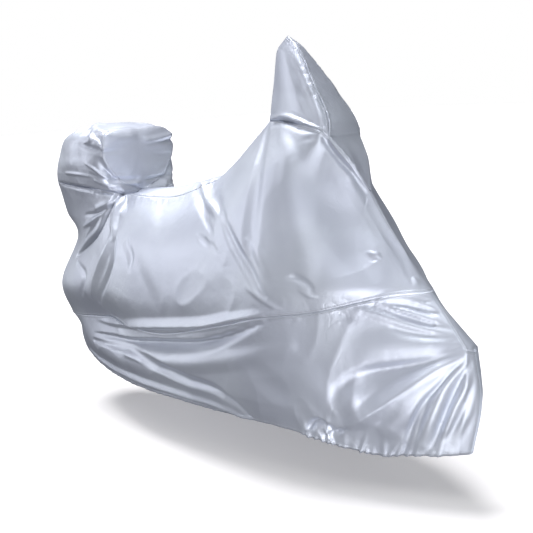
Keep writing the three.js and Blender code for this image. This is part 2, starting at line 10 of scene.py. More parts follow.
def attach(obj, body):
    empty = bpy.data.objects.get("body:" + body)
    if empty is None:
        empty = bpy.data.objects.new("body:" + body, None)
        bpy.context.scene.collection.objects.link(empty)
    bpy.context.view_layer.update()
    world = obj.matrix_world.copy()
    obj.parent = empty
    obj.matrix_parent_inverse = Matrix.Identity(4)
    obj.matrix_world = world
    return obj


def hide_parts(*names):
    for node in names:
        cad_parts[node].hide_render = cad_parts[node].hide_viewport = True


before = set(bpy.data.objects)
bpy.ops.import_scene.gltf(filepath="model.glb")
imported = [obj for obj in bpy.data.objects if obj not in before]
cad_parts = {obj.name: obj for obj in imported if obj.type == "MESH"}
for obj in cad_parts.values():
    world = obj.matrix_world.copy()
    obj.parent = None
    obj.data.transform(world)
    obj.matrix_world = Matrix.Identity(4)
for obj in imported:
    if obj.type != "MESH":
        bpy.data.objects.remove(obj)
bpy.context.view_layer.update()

# Lines of the cover's form in mm: station, x, z, half width, and 1 where the curve has a corner.
# x runs forward, z runs up from the floor, and a station counts cross-sections from rear to front.
bodyLines = {
    "hem": [
        (0, -1035, 240, 0), (0.6, -1020, 236, 75), (1, -958, 224, 120), (1.5, -805, 186, 155),
        (2, -626, 172, 192), (3, -386, 174, 235), (4, -168, 179, 250), (5, 13, 180, 250),
        (6, 166, 185, 250), (7, 368, 187, 245), (8, 515, 172, 215), (9, 620, 146, 165),
        (9.3, 690, 134, 130), (9.6, 770, 142, 96), (9.8, 850, 152, 74), (10, 918, 159, 40, 1),
        (11, 942, 158, 0)],
    "shin": [
        (0, -1052, 282, 0), (1, -962, 276, 132), (1.5, -812, 238, 178), (2, -632, 228, 218),
        (3, -392, 228, 258), (4, -174, 234, 272), (5, 8, 238, 275), (6, 163, 244, 276),
        (7, 362, 250, 268), (8, 514, 250, 238), (9, 652, 250, 184), (9.5, 800, 272, 122),
        (10, 955, 325, 42, 1), (11, 978, 320, 0)],
    "low": [
        (0, -1075, 325, 0), (1, -968, 330, 135), (1.5, -820, 300, 190), (2, -640, 290, 235),
        (3, -400, 290, 270), (4, -180, 295, 285), (5, 0, 300, 290), (6, 160, 305, 290),
        (7, 350, 315, 280), (8, 510, 325, 245), (9, 670, 350, 180), (9.5, 800, 405, 110),
        (10, 953, 484, 28, 1), (11, 962, 476, 0)],
    "seam": [
        (0, -1105, 385, 0), (1, -1000, 372, 142), (1.5, -810, 395, 185), (2, -620, 420, 205),
        (2.5, -510, 415, 225), (3, -395, 413, 250), (4, -200, 424, 270), (5, 25, 472, 290),
        (6, 190, 514, 300), (7, 350, 556, 298), (7.5, 426, 567, 270), (8, 503, 578, 235),
        (8.5, 579, 594, 200), (9, 655, 616, 150), (9.5, 736, 636, 88), (10, 804, 640, 0)],
    "waist": [
        (0, -1130, 500, 0), (1, -1082, 500, 138), (1.5, -930, 510, 200), (2, -680, 530, 245),
        (3, -420, 530, 272), (4, -210, 540, 285), (5, 10, 575, 297), (6, 180, 620, 298),
        (7, 350, 660, 290), (8, 505, 670, 240), (9, 650, 670, 155), (9.5, 720, 675, 76),
        (10, 776, 671, 0)],
    "belly": [
        (0, -1040, 690, 0), (1, -960, 700, 115), (1.5, -850, 680, 165), (2, -660, 690, 215),
        (3, -430, 690, 245), (4, -240, 700, 255), (5, -15, 740, 260), (6, 170, 790, 262),
        (7, 350, 820, 252), (8, 500, 800, 205), (9, 618, 760, 106), (9.5, 690, 730, 52),
        (10, 752, 702, 0)],
    "shoulder": [
        (0, -1085, 800, 0), (1, -1000, 800, 125), (1.5, -840, 800, 165), (2, -660, 810, 180),
        (3, -500, 800, 175), (4, -260, 805, 185), (5, -50, 870, 165), (6, 170, 980, 170),
        (7, 355, 1010, 180), (8, 470, 965, 120), (9, 590, 850, 46), (9.5, 658, 790, 26),
        (10, 730, 730, 0)],
    "top": [
        (0, -1130, 925, 0), (0.5, -1105, 930, 90), (1, -1010, 930, 145), (1.5, -810, 922, 185),
        (2, -685, 913, 175), (2.5, -630, 906, 145), (3, -600, 895, 100, 1), (3.5, -450, 885, 95),
        (4, -280, 895, 85), (4.4, -165, 935, 55), (5, -80, 970, 36), (5.5, 70, 1080, 30),
        (6, 173, 1158, 30, 1), (6.5, 279, 1161, 75), (7, 369, 1152, 95), (7.5, 460, 1130, 90),
        (8, 480, 1107, 72, 1), (8.5, 538, 1028, 45), (9, 585, 931, 0, 1), (9.5, 646, 842, 0),
        (10, 711, 757, 0)],
}
boxLines = {
    "foot": [(0, -1135, 975, 0), (1, -1005, 975, 152), (1.5, -830, 975, 193), (2, -700, 972, 188),
             (3.4, -632, 946, 105)],
    "middle": [(0, -1125, 1030, 0), (1, -985, 1030, 150), (1.5, -840, 1035, 195),
               (2, -740, 1038, 192), (3.4, -636, 1040, 168)],
    "upperEdge": [(0, -1090, 1105, 0), (1, -965, 1112, 118), (1.5, -840, 1122, 160),
                  (2, -740, 1128, 160), (3.4, -640, 1130, 142)],
    "topMiddle": [(0, -1040, 1135, 0), (1, -960, 1152, 0), (1.5, -850, 1162, 0),
                  (2, -740, 1158, 0), (3.4, -642, 1142, 0)],
}
finRear = [(0, 173, 1158, 30), (1, 187, 1220, 30), (2, 195, 1272, 25), (3, 208, 1369, 18),
           (4, 215, 1396, 12)]
finFront = [(0, 480, 1107, 72), (0.5, 474, 1147, 60), (1, 455, 1184, 51), (1.5, 428, 1224, 44),
            (2, 403, 1264, 43), (2.5, 366, 1313, 31), (3, 335, 1355, 20), (3.5, 301, 1396, 12),
            (4, 251, 1430, 3)]
form = {
    "origin": (-280, 0, 936),
    "clothThickness": 0.0011,
    "finBelly": 10,
    "boxFrontCrown": 14,
    "boxFrontEase": {"full": 1.67, "end": 3, "fade": 0.4},  # in box levels
    "screenCrown": {"foot": 8, "above": 9, "peak": 2},
    "gussetCrown": (6, 3),
    "seatCrown": [(3, -28, 5), (3.4, -6, 24), (4, 0, 42), (4.4, 0, 24), (5, -2, 12), (6, -6, 2),
                  (7, -6, 0), (8, -2, 1)],
    "boxNeck": (-628, 900, 8),
    "mirrorBlend": 40,
    "middleFade": 30,
}
landmark = {"boxNeck": 3, "boxSeam": 3.4, "finRear": 6, "finFront": 8, "screenPoint": 9,
            "nose": 10}
level = {"low": 2, "seam": 3}

# How finely the cloth is divided between whole stations, levels and so on
fineness = {
    "stations": [24, 56, 42, 38, 32, 28, 32, 26, 28, 60, 8],
    "levels": [12, 18, 28, 20, 26, 22, 18],
    "box": [12, 14, 14, 16],
    "boxCorner": 12,
    "fin": 56,
    "strip": 28,
    "screen": 28,
}

# Creases of the right side, seen from the side: how sharp the crest is, how much steeper its right
# flank is, and points along it in mm with half width and lift. A trough has a negative lift.
creasesRight = [
    # Front skirt
    (0.8, 0, [(962, 476, 12, 5.8), (936, 458, 18, 11.6), (878, 427, 29, 15.9), (805, 365, 42, 20.3),
              (738, 311, 44, 20.3), (676, 267, 36, 13), (601, 212, 21, 2.9)]),
    (0, 0, [(960, 462, 12, 2.9), (922, 416, 22, 8.7), (875, 375, 34, 13),
            (810, 309, 44, 14.5), (735, 220, 36, 5.8)]),
    (0.8, 0, [(961, 469, 6, -4.3), (922, 425, 10, -11.6), (880, 369, 13, -14.5),
              (845, 322, 14, -15.9), (814, 255, 16, -13), (771, 168, 13, -5.8)]),
    (0.1, 0, [(961, 453, 10, 2.9), (927, 410, 14, 10.2), (892, 343, 20, 14.5),
              (863, 271, 24, 14.5), (823, 184, 22, 7.2)]),
    (0.7, 0, [(861, 336, 9, -2.9), (844, 286, 12, -7.2), (816, 218, 9, -4.3)]),
    (0.8, 0, [(962, 460, 6, -4.3), (955, 430, 9, -10.2), (938, 389, 12, -14.5),
              (918, 337, 13, -15.9), (892, 269, 14, -13), (854, 178, 13, -5.8)]),
    (0.1, 0, [(965, 434, 8, 2.9), (957, 378, 12, 10.2), (931, 318, 14, 13), (898, 235, 16, 8.7)]),
    (0.75, 0, [(959, 445, 6, -2.9), (968, 409, 8, -8.7), (963, 359, 10, -11.6),
               (946, 296, 12, -11.6), (904, 224, 12, -5.8)]),
    (0.55, 0, [(974, 382, 8, 2.9), (970, 340, 10, 8.7), (958, 296, 12, 10.2), (933, 241, 12, 4.3)]),
    (0.7, 0, [(973, 339, 6, -2.9), (970, 294, 9, -8.7), (954, 255, 10, -8.7), (928, 201, 9, -4.3)]),
    (0.55, 0.5, [(955, 483, 10, -2.9), (882, 455, 21, -8.7), (780, 429, 39, -15.9),
                 (708, 413, 49, -15.9), (655, 392, 57, -11.6), (617, 356, 62, -5.8),
                 (597, 314, 57, -1.4)]),
    (0, 0, [(910, 504, 18, 2.9), (837, 493, 44, 8.7), (744, 486, 64, 8.7), (641, 465, 70, 1.4)]),
    (0.85, -0.2, [(632, 222, 39, 1.4), (649, 277, 70, 10.2),
                  (646, 324, 75, 11.6), (649, 365, 57, 2.9)]),
    (0.75, 0, [(468, 186, 10, -5.8), (522, 232, 21, -21.8), (570, 216, 12, -8.7)]),
    (0.85, -0.4, [(543, 193, 8, -5.8), (592, 212, 10, -17.4), (628, 229, 6, -4.3)]),
    (0.1, 0, [(294, 391, 40, -1.4), (376, 335, 60, -7.2), (477, 275, 40, -1.4)]),
    (0.1, 0, [(459, 406, 50, 1.4), (515, 360, 70, 7.2), (580, 299, 40, 1.4)]),
    # Gathers under the front of the long seam
    (0.7, 0.3, [(914, 531, 8, -3), (900, 539, 12, -9), (827, 556, 17, -15),
                (759, 579, 18, -13.5), (702, 600, 16, -10.5), (660, 608, 12, -6)]),
    (0.7, 0, [(889, 550, 8, 3), (828, 564, 13, 10.5), (779, 583, 14, 12),
              (733, 599, 13, 9), (698, 608, 9, 4.5)]),
    (0.65, 0, [(869, 574, 8, -3), (819, 592, 14, -12), (771, 607, 16, -12),
               (731, 608, 14, -9), (692, 617, 10, -4.5)]),
    (0.7, 0, [(859, 585, 8, 1.5), (809, 605, 10, 6), (769, 615, 9, 4.5), (743, 620, 6, 1.5)]),
    (0.65, 0, [(842, 601, 6, -1.5), (814, 615, 9, -6), (792, 618, 6, -1.5)]),
    (0.6, 0, [(920, 525, 10, 3), (867, 532, 18, 9), (788, 552, 23, 12),
              (723, 577, 23, 10.5), (657, 597, 18, 4.5)]),
    (0.55, 0, [(922, 519, 8, -3), (872, 518, 16, -7.5), (804, 523, 21, -7.5), (749, 538, 18, -3)]),
    (0.7, 0, [(896, 497, 5, -1.5), (919, 509, 8, -7.5), (931, 514, 5, -1.5)]),
    (0.7, 0, [(904, 492, 5, 1.5), (924, 503, 6, 6), (936, 509, 4, 1.5)]),
    (0.7, 0, [(907, 484, 5, -1.5), (928, 496, 8, -7.5), (941, 503, 5, -1.5)]),
    (0.7, 0, [(917, 481, 5, -1.5), (932, 489, 8, -6), (947, 497, 5, -1.5)]),
    (0.6, 0, [(584, 595, 10, -1.5), (617, 575, 16, -6), (646, 563, 13, -1.5)]),
    # Overhanging lip of the side and the band under it
    (0.55, 0.45, [(-734, 390, 16, 1.3), (-597, 396, 21, 9.1), (-449, 413, 23, 15.6),
                  (-275, 439, 25, 18.2), (-66, 471, 25, 18.2), (81, 496, 25, 16.9),
                  (220, 533, 22, 13), (340, 564, 16, 6.5), (416, 585, 10, 1.3)]),
    (0.1, -0.7, [(-749, 337, 14, -1.3), (-595, 352, 20, -13), (-443, 363, 24, -24.7),
                 (-273, 386, 28, -31.2), (-85, 412, 28, -31.2), (88, 447, 26, -27.3),
                 (232, 494, 20, -18.2), (340, 537, 14, -9.1), (432, 568, 8, -1.3)]),
    (0, 0, [(-458, 307, 20, 3.9), (-216, 321, 36, 9.1), (31, 356, 42, 10.4),
            (273, 415, 42, 7.8), (452, 474, 30, 2.6)]),
    (0.1, 0, [(-769, 302, 14, -3.9), (-457, 324, 24, -11.7), (-242, 304, 30, -15.6),
              (-80, 282, 30, -15.6), (95, 272, 26, -13), (187, 235, 18, -9.1),
              (240, 192, 12, -3.9), (287, 188, 8, -1.3)]),
    (0.6, 0, [(-876, 233, 13, 5.2), (-680, 215, 18, 11.7), (-510, 211, 23, 14.3), (-182, 209, 23, 14.3),
              (92, 205, 18, 10.4), (195, 186, 12, 5.2), (287, 188, 8, 1.3)]),
    (0.7, 0, [(-837, 199, 6, -2.6), (-607, 187, 8, -5.2), (-328, 191, 8, -5.2),
              (-25, 192, 8, -5.2), (154, 185, 6, -2.6)]),
    # Rear
    (0.55, 0, [(-588, 898, 9, -4.1), (-604, 898, 12, -10.8), (-610, 859, 14, -17.6), (-645, 800, 17, -23),
               (-686, 744, 17, -23), (-775, 694, 17, -18.9), (-893, 637, 14, -9.5)]),
    (0.6, 0, [(-580, 883, 16, 5.4), (-584, 838, 23, 14.9),
              (-574, 793, 26, 14.9), (-545, 742, 21, 5.4)]),
    (0.85, 0.5, [(-573, 742, 13, 4.1), (-569, 707, 23, 13.5), (-585, 665, 31, 20.2),
                 (-642, 585, 31, 18.9), (-697, 501, 21, 6.8)]),
    (0.9, 0, [(-863, 609, 13, -4.1), (-756, 573, 23, -10.8), (-796, 495, 18, -4.1)]),
    (0.6, 0, [(-526, 732, 16, -4.1), (-517, 650, 21, -10.8),
              (-569, 562, 23, -12.2), (-654, 479, 18, -5.4)]),
    (0.75, 0, [(-582, 893, 8, 2.7), (-609, 869, 16, 9.5), (-702, 839, 16, 6.8)]),
    (0.7, 0, [(-605, 852, 10, -5.4), (-701, 820, 13, -8.1), (-794, 809, 8, -2.7)]),
    (0.75, 0, [(-650, 828, 10, 4.1), (-748, 784, 16, 9.5), (-824, 759, 10, 2.7)]),
    (0.65, 0, [(-694, 793, 8, -2.7), (-742, 759, 10, -8.1), (-807, 711, 8, -2.7)]),
    (0, 0, [(-445, 727, 24, -4.1), (-392, 686, 30, -8.1), (-385, 644, 24, -2.7)]),
    (0, 0, [(-393, 835, 60, 1.4), (-324, 755, 80, 5.4), (-239, 665, 80, 6.8), (-164, 563, 60, 2.7)]),
    (0.65, 0, [(4, 790, 10, -4.1), (65, 772, 16, -10.8), (107, 761, 10, -4.1)]),
    (0.85, -0.3, [(-195, 940, 8, 5.4), (-101, 906, 13, 13.5), (48, 879, 13, 13.5), (105, 849, 8, 4.1)]),
    (0.75, 0, [(-195, 928, 9, -4.1), (-110, 892, 12, -10.8), (4, 860, 10, -9.5), (85, 839, 6, -2.7)]),
    (0.55, 0, [(-123, 935, 10, -4.1), (46, 905, 16, -8.1), (142, 859, 16, -4.1)]),
    (0.8, 0, [(52, 811, 9, 4.1), (98, 787, 13, 9.5), (139, 762, 10, 2.7)]),
    (0.55, 0, [(-204, 915, 10, -2.7), (-81, 875, 16, -6.8), (42, 828, 18, -9.5),
               (105, 781, 16, -8.1), (139, 749, 10, -2.7)]),
    (0, 0, [(127, 863, 14, -4.1), (210, 792, 26, -10.8), (302, 710, 28, -10.8), (375, 629, 20, -4.1)]),
    # Streaks and crumples over the long seam
    (0.85, 0, [(303, 657, 9, 1.1), (357, 626, 12, 5.5), (399, 602, 12, 5.5), (434, 587, 8, 1.1)]),
    (0.65, 0, [(309, 634, 9, -1.1), (351, 610, 12, -3.3), (386, 591, 10, -2.2)]),
    (0.55, 0, [(290, 800, 21, 2.2), (340, 760, 31, 6.6), (375, 725, 31, 5.5), (399, 686, 21, 1.1)]),
    (0.7, 0, [(459, 690, 13, -2.2), (487, 690, 17, -7.7), (523, 669, 14, -6.6), (535, 646, 9, -1.1)]),
    (0.8, 0, [(495, 653, 8, 1.1), (524, 637, 9, 4.4), (546, 634, 6, 1.1)]),
    # Front of the side
    (0.1, 0, [(497, 925, 24, -1.2), (543, 856, 36, -6), (594, 785, 38, -6),
              (642, 726, 28, -3.6), (679, 682, 20, -1.2)]),
    (0.55, 0, [(486, 1018, 39, 1.2), (538, 930, 60, 7.2), (597, 838, 65, 8.4),
               (671, 758, 60, 6), (733, 679, 39, 1.2)]),
    (0.6, 0, [(553, 967, 13, -2.4), (584, 921, 18, -6), (635, 852, 21, -7.2),
              (686, 780, 21, -6), (746, 707, 18, -4.8), (801, 643, 13, -1.2)]),
    (0.8, 0, [(637, 758, 5, 1.2), (655, 749, 8, 4.8), (672, 737, 5, 1.2)]),
    (0.7, 0, [(645, 744, 5, -1.2), (661, 734, 6, -3.6)]),
    (0.8, 0, [(761, 680, 5, 2.4), (772, 669, 8, 6), (784, 654, 5, 1.2)]),
    (0.1, 0, [(179, 1139, 18, -2.4), (230, 1071, 30, -6), (268, 980, 42, -8.4),
              (286, 875, 48, -8.4), (307, 770, 42, -6), (345, 675, 30, -1.2)]),
    (0.1, 0, [(290, 1135, 18, 1.2), (372, 1067, 34, 4.8), (413, 965, 48, 6),
              (465, 849, 56, 6), (508, 729, 48, 3.6), (517, 654, 30, 1.2)]),
    (0.7, 0, [(411, 1098, 8, -1.2), (435, 1107, 10, -3.6), (457, 1107, 8, -1.2)]),
    (0.7, 0, [(468, 1120, 8, -4.8), (485, 1079, 10, -10.8), (519, 1031, 12, -10.8),
              (548, 991, 12, -8.4), (582, 922, 10, -4.8)]),
    (0.7, 0, [(480, 1107, 8, 2.4), (504, 1074, 10, 6), (534, 1035, 12, 7.2),
              (566, 983, 12, 6), (582, 938, 10, 2.4)]),
    # Roll where the fin stands on the body
    (0.7, 0.4, [(181, 1163, 10, 4.8), (291, 1174, 12, 9.6), (363, 1162, 12, 9.6),
                (414, 1148, 10, 7.2), (457, 1133, 6, 2.4)]),
    (0.75, 0, [(313, 1187, 5, -1.2), (367, 1176, 6, -4.8), (413, 1158, 6, -4.8), (453, 1143, 4, -1.2)]),
    (0.65, -0.3, [(206, 1150, 10, -4.8), (308, 1160, 13, -9.6),
                  (390, 1140, 13, -9.6), (454, 1126, 8, -3.6)]),
    (0, 0, [(293, 1356, 14, -1.2), (349, 1288, 24, -3.6),
            (394, 1218, 26, -3.6), (439, 1161, 16, -1.2)]),
    # Box
    (0.75, 0, [(-738, 1093, 10, 4.5), (-697, 1115, 13, 12), (-767, 1148, 10, 6)]),
    (0.65, 0, [(-794, 1096, 10, -3), (-710, 1080, 16, -10.5), (-639, 1061, 16, -7.5)]),
    (0.75, 0, [(-880, 1127, 10, 6), (-869, 1142, 13, 10.5), (-855, 1155, 10, 4.5)]),
    (0.65, 0, [(-872, 1153, 8, -3), (-679, 1121, 10, -9), (-638, 1083, 10, -4.5)]),
    (0.75, 0, [(-845, 1159, 10, 6), (-650, 1127, 13, 10.5), (-635, 1068, 10, 4.5)]),
    (0.75, 0, [(-723, 1017, 8, 3), (-682, 997, 10, 7.5), (-647, 966, 8, 1.5)]),
    (0.75, 0, [(-899, 975, 8, 3), (-798, 975, 10, 6), (-709, 967, 8, 1.5)]),
    (0.7, 0, [(-684, 951, 8, 3), (-626, 927, 12, 9), (-582, 903, 8, 4.5)]),
    (0.65, 0, [(-706, 977, 8, -3), (-636, 952, 10, -7.5), (-629, 931, 9, -4.5)]),
    (0.55, 0, [(-1005, 930, 10, -4.5), (-793, 921, 13, -12), (-671, 906, 13, -12),
               (-602, 897, 10, -9), (-550, 901, 8, -4.5)]),
]
# The hidden side hangs alike, but never the same: each crease is moved, bent and scaled a little
hiddenSide = {"seed": 7, "move": 26, "bend": 14, "scale": (0.65, 1.15), "leftOut": 0.12}


def smoothStep(x, low, high):
    # Rises softly from 0 at low to 1 at high
    t = np.clip((np.asarray(x, float) - low) / (high - low), 0, 1)
    return t * t * (3 - 2 * t)


def spread(steps):
    # Places along the lines: from each whole number to the next in the given count of steps
    stops = [0.0]
    for whole, count in enumerate(steps):
        stops += [whole + step / count for step in range(1, count + 1)]
    return np.array(stops)


def hermite(a, b, leaving, arriving, s):
    # A smooth curve from a to b with the given slopes at its ends
    s2, s3 = s * s, s * s * s
    ends = a * (2 * s3 - 3 * s2 + 1) + b * (3 * s2 - 2 * s3)
    return ends + leaving * (s3 - 2 * s2 + s) + arriving * (s3 - s2)


def lineCurve(rows, stations):
    # Points of one form line at the given stations.
    at = np.array([row[0] for row in rows], float)
    place = np.array([row[1:4] for row in rows], float)
    corner = [len(row) > 4 and row[4] for row in rows]
    gap = np.diff(at)
    slope = np.diff(place, axis=0) / gap[:, None]
    leaving = np.vstack([slope, slope[-1:]])
    arriving = np.vstack([slope[:1], slope])
    for i in range(1, len(rows) - 1):
        if not corner[i]:
            mean = (slope[i - 1] * gap[i] + slope[i] * gap[i - 1]) / (gap[i - 1] + gap[i])
            leaving[i] = arriving[i] = mean
    if place[0, 2] == 0 and place[1, 2] > 0:
        leaving[0, :2] = 0  # the line crosses the middle plane squarely
    if place[-1, 2] == 0 and place[-2, 2] > 0:
        arriving[-1, :2] = 0
    i = np.clip(np.searchsorted(at, stations, side="right") - 1, 0, len(rows) - 2)
    length = gap[i][:, None]
    s = (np.asarray(stations, float)[:, None] - at[i][:, None]) / length
    return hermite(place[i], place[i + 1], leaving[i] * length, arriving[i + 1] * length, s)


def acrossLines(lines, heights, sharp=None):
    # Surface points between the lines, as an array of heights by stations.
    last = len(lines) - 1
    slope = lines[1:] - lines[:-1]
    ends = lines[last, :, 2] == 0
    roundOver = np.where(ends, smoothStep(lines[last - 1, :, 2], 0, form["mirrorBlend"]), 0)
    finish = slope[-1].copy()
    finish[:, :2] *= (1 - roundOver)[:, None]
    rows = []
    for height in heights:
        i = min(int(height), last - 1)

        def tangent(k, side):
            if k == 0:
                return slope[0]
            if k == last:
                return finish
            broken = slope[k - 1] if side < 0 else slope[k]
            share = (sharp or {}).get(k, 0)
            share = np.asarray(share, float).reshape(-1, 1)
            return (slope[k - 1] + slope[k]) / 2 * (1 - share) + broken * share

        rows.append(hermite(lines[i], lines[i + 1], tangent(i, 1), tangent(i + 1, -1), height - i))
    return np.array(rows)


class Cloth:
    # All grids of the cover in one place, so that panels which meet share the points of their seam.

    def __init__(self):
        self.points = []
        self.lifts = []
        self.quads = {}
        self.corners = {}
        self.count = 0

    def addGrid(self, panel, grid, lift, uv, flip=False):
        rows, columns = grid.shape[:2]
        index = self.count + np.arange(rows * columns).reshape(rows, columns)
        a, b, c, d = index[:-1, :-1], index[:-1, 1:], index[1:, 1:], index[1:, :-1]
        order = (a, d, c, b) if flip else (a, b, c, d)
        quads = np.stack([part.ravel() for part in order], axis=1)
        flat = uv.reshape(-1, uv.shape[-1])
        self.quads.setdefault(panel, []).append(quads)
        self.corners.setdefault(panel, []).append(flat[quads - self.count])
        self.points.append(grid.reshape(-1, 3))
        self.lifts.append(lift.ravel())
        self.count += rows * columns

    def weld(self):
        points = np.vstack(self.points)
        lifts = np.concatenate(self.lifts)
        keys = np.round(points * 100).astype(np.int64)
        first, back = np.unique(keys, axis=0, return_index=True, return_inverse=True)[1:]
        back = back.ravel()
        self.points = points[first]
        self.lifts = np.bincount(back, lifts) / np.bincount(back)
        self.quads = {panel: back[np.vstack(parts)] for panel, parts in self.quads.items()}
        self.corners = {panel: np.vstack(parts) for panel, parts in self.corners.items()}

    def normals(self):
        normals = np.zeros_like(self.points)
        for quads in self.quads.values():
            a, b, c, d = (self.points[quads[:, i]] for i in range(4))
            cross = np.cross(c - a, d - b)
            for i in range(4):
                np.add.at(normals, quads[:, i], cross)
        return normals / np.maximum(np.linalg.norm(normals, axis=1, keepdims=True), 1e-9)


def mirrored(grid, side):
    # Half widths become y: the right side is at negative y.
    placed = grid[..., [0, 2, 1]].copy()
    placed[..., 1] = grid[..., 2] * side
    placed[..., 2] = grid[..., 1]
    return placed


def lengths(grid, axis):
    # How far each point is along one axis of a grid, measured on the cloth
    steps = np.linalg.norm(np.diff(grid, axis=axis), axis=-1)
    return np.insert(np.cumsum(steps, axis=axis), 0, 0, axis=axis)


def pucker(along, away, seed, spacing, width, reach, lift, lean=0.5, held=True):
    # Short uneven gathers that start at a border. along and away are mm from its start and from it.
    # A sewn border holds the cloth down, and a free one lets it wave.
    picker = np.random.RandomState(seed)
    result = np.zeros(np.shape(along))
    place = along.min()
    while place < along.max():
        place += spacing * picker.uniform(0.5, 1.5)
        wide, long = width * picker.uniform(0.6, 1.5), reach * picker.uniform(0.35, 1.4)
        high, slant = lift * picker.uniform(0.3, 1.3), lean * picker.uniform(-1, 1)
        across = np.abs(along - place - slant * away) / wide
        fade = np.clip(1 - away / long, 0, 1) ** 1.5
        if held:
            fade = fade * np.clip(away / (0.16 * long), 0, 1)
        result += high * np.clip(1 - across, 0, 1) ** 1.4 * fade
    return result


def gather(seams, border, span, **look):
    # The same gathers along part of one border of a grid, faded out past the span of stations
    along, away, station = seams[border]
    share = smoothStep(station, span[0] - 0.15, span[0] + 0.15)
    share = share * (1 - smoothStep(station, span[1] - 0.15, span[1] + 0.15))
    return pucker(along, away, **look) * share


def borders(grid, stations=None):
    # For each border of a grid: how far along it each point is, how far away, and its station
    up, on = lengths(grid, 0), lengths(grid, 1)
    middle = grid.shape[0] // 2
    station = np.zeros(grid.shape[:2]) if stations is None else stations + np.zeros(grid.shape[:2])
    height = up[:, grid.shape[1] // 2][:, None] + np.zeros(grid.shape[:2])
    return {
        "bottom": (on[:1] + 0 * up, up, station),
        "top": (on[-1:] + 0 * up, up[-1:] - up, station),
        "rear": (height, on, station),
        "front": (height, on[:, -1:] - on, station),
        "cloth": (on[middle][None] + 0 * up, up, station),
    }


def clothPlaces(seams, sewn):
    # Two maps in metres: the place on the cloth, and along and away from the nearest sewn border
    along, away = seams[sewn[0]][:2]
    for name in sewn[1:]:
        nearer = seams[name][1] < away
        along = np.where(nearer, seams[name][0], along)
        away = np.where(nearer, seams[name][1], away)
    return np.stack([seams["cloth"][0], seams["cloth"][1], along, away], axis=-1) / 1000


cloth = Cloth()
stations = spread(fineness["stations"])
heights = spread(fineness["levels"])
bodyStations = stations[stations <= landmark["nose"]]
noseStations = stations[stations >= landmark["nose"]]
sideName = {-1: "right", 1: "left"}
gathers = {
    "hemFront": dict(spacing=24, width=15, reach=95, lift=10, lean=0.35, held=False),
    "hem": dict(spacing=46, width=16, reach=34, lift=2.5, held=False),
    "longSeam": dict(spacing=38, width=8, reach=26, lift=1.0),
    "noseSeam": dict(spacing=22, width=8, reach=30, lift=0.9, lean=0.3),
    "seatSeam": dict(spacing=11, width=7, reach=60, lift=4.2, lean=0.6),
    "boxFoot": dict(spacing=17, width=8, reach=50, lift=3, lean=0.8),
    "finFoot": dict(spacing=18, width=7, reach=26, lift=1.4),
    "finSeam": dict(spacing=9, width=5.5, reach=30, lift=5.5, lean=0.5),
    "boxSeam": dict(spacing=14, width=8, reach=40, lift=3, lean=0.6),
    "gusset": dict(spacing=12, width=7, reach=40, lift=2.6, lean=0.6),
}
# First and last station of each stretch of gathers along the body
spans = {
    "whole": (-1, 12),
    "hemFront": (7.6, 12),
    "hem": (-1, 7.6),
    "longSeam": (-1, 9.3),
    "noseSeam": (9.3, 12),
    "seatSeam": (2.7, 5.3),
    "boxFoot": (0.2, 2.9),
    "finFoot": (6, 9),
}


def buildBody(side):
    lines = np.array([lineCurve(rows, bodyStations) for rows in bodyLines.values()])
    corner = smoothStep(bodyStations, landmark["nose"] - 1, landmark["nose"])
    grid = acrossLines(lines, heights, {level["low"]: corner, level["seam"]: 1})
    seed = 10 if side < 0 else 60
    seamRow = int(np.argmin(abs(heights - level["seam"])))
    lowRow = int(np.argmin(abs(heights - level["low"])))

    skirt = grid[:seamRow + 1]
    seams = borders(skirt, bodyStations)
    noseEdge = smoothStep(heights[:seamRow + 1], level["low"] - 0.05, level["low"] + 0.1)[:, None]
    lift = gather(seams, "bottom", spans["hemFront"], seed=seed, **gathers["hemFront"])
    lift += gather(seams, "bottom", spans["hem"], seed=seed + 1, **gathers["hem"])
    lift += gather(seams, "top", spans["longSeam"], seed=seed + 2, **gathers["longSeam"])
    lift += gather(seams, "top", spans["noseSeam"], seed=seed + 3, **gathers["noseSeam"])
    gusset = gather(seams, "front", spans["whole"], seed=seed + 4, **gathers["gusset"])
    lift += gusset * noseEdge
    places = clothPlaces(seams, ["bottom", "top"])
    cloth.addGrid("skirt_" + sideName[side], mirrored(skirt, side), lift, places, side > 0)

    # The nose's own face below the gusset, from the corner to the middle line
    noseLines = [lineCurve(rows, noseStations) for rows in list(bodyLines.values())[:3]]
    face = acrossLines(np.array(noseLines), heights[:lowRow + 1])
    seams = borders(face, noseStations)
    lift = gather(seams, "bottom", spans["hemFront"], seed=seed + 5, **gathers["hemFront"])
    places = clothPlaces(seams, ["bottom", "top"])
    cloth.addGrid("skirt_" + sideName[side], mirrored(face, side), lift, places, side > 0)

    upper = grid[seamRow:]
    seams = borders(upper, bodyStations)
    lift = gather(seams, "bottom", spans["whole"], seed=seed + 2, **gathers["longSeam"])
    lift += gather(seams, "top", spans["seatSeam"], seed=seed + 6, **gathers["seatSeam"])
    lift += gather(seams, "top", spans["boxFoot"], seed=seed + 7, **gathers["boxFoot"])
    lift += gather(seams, "top", spans["finFoot"], seed=seed + 8, **gathers["finFoot"])
    places = clothPlaces(seams, ["bottom", "top"])
    cloth.addGrid("side_" + sideName[side], mirrored(upper, side), lift, places, side > 0)
    return {"top": grid[-1], "noseEdge": grid[lowRow:seamRow + 1, -1], "noseFace": face[-1]}


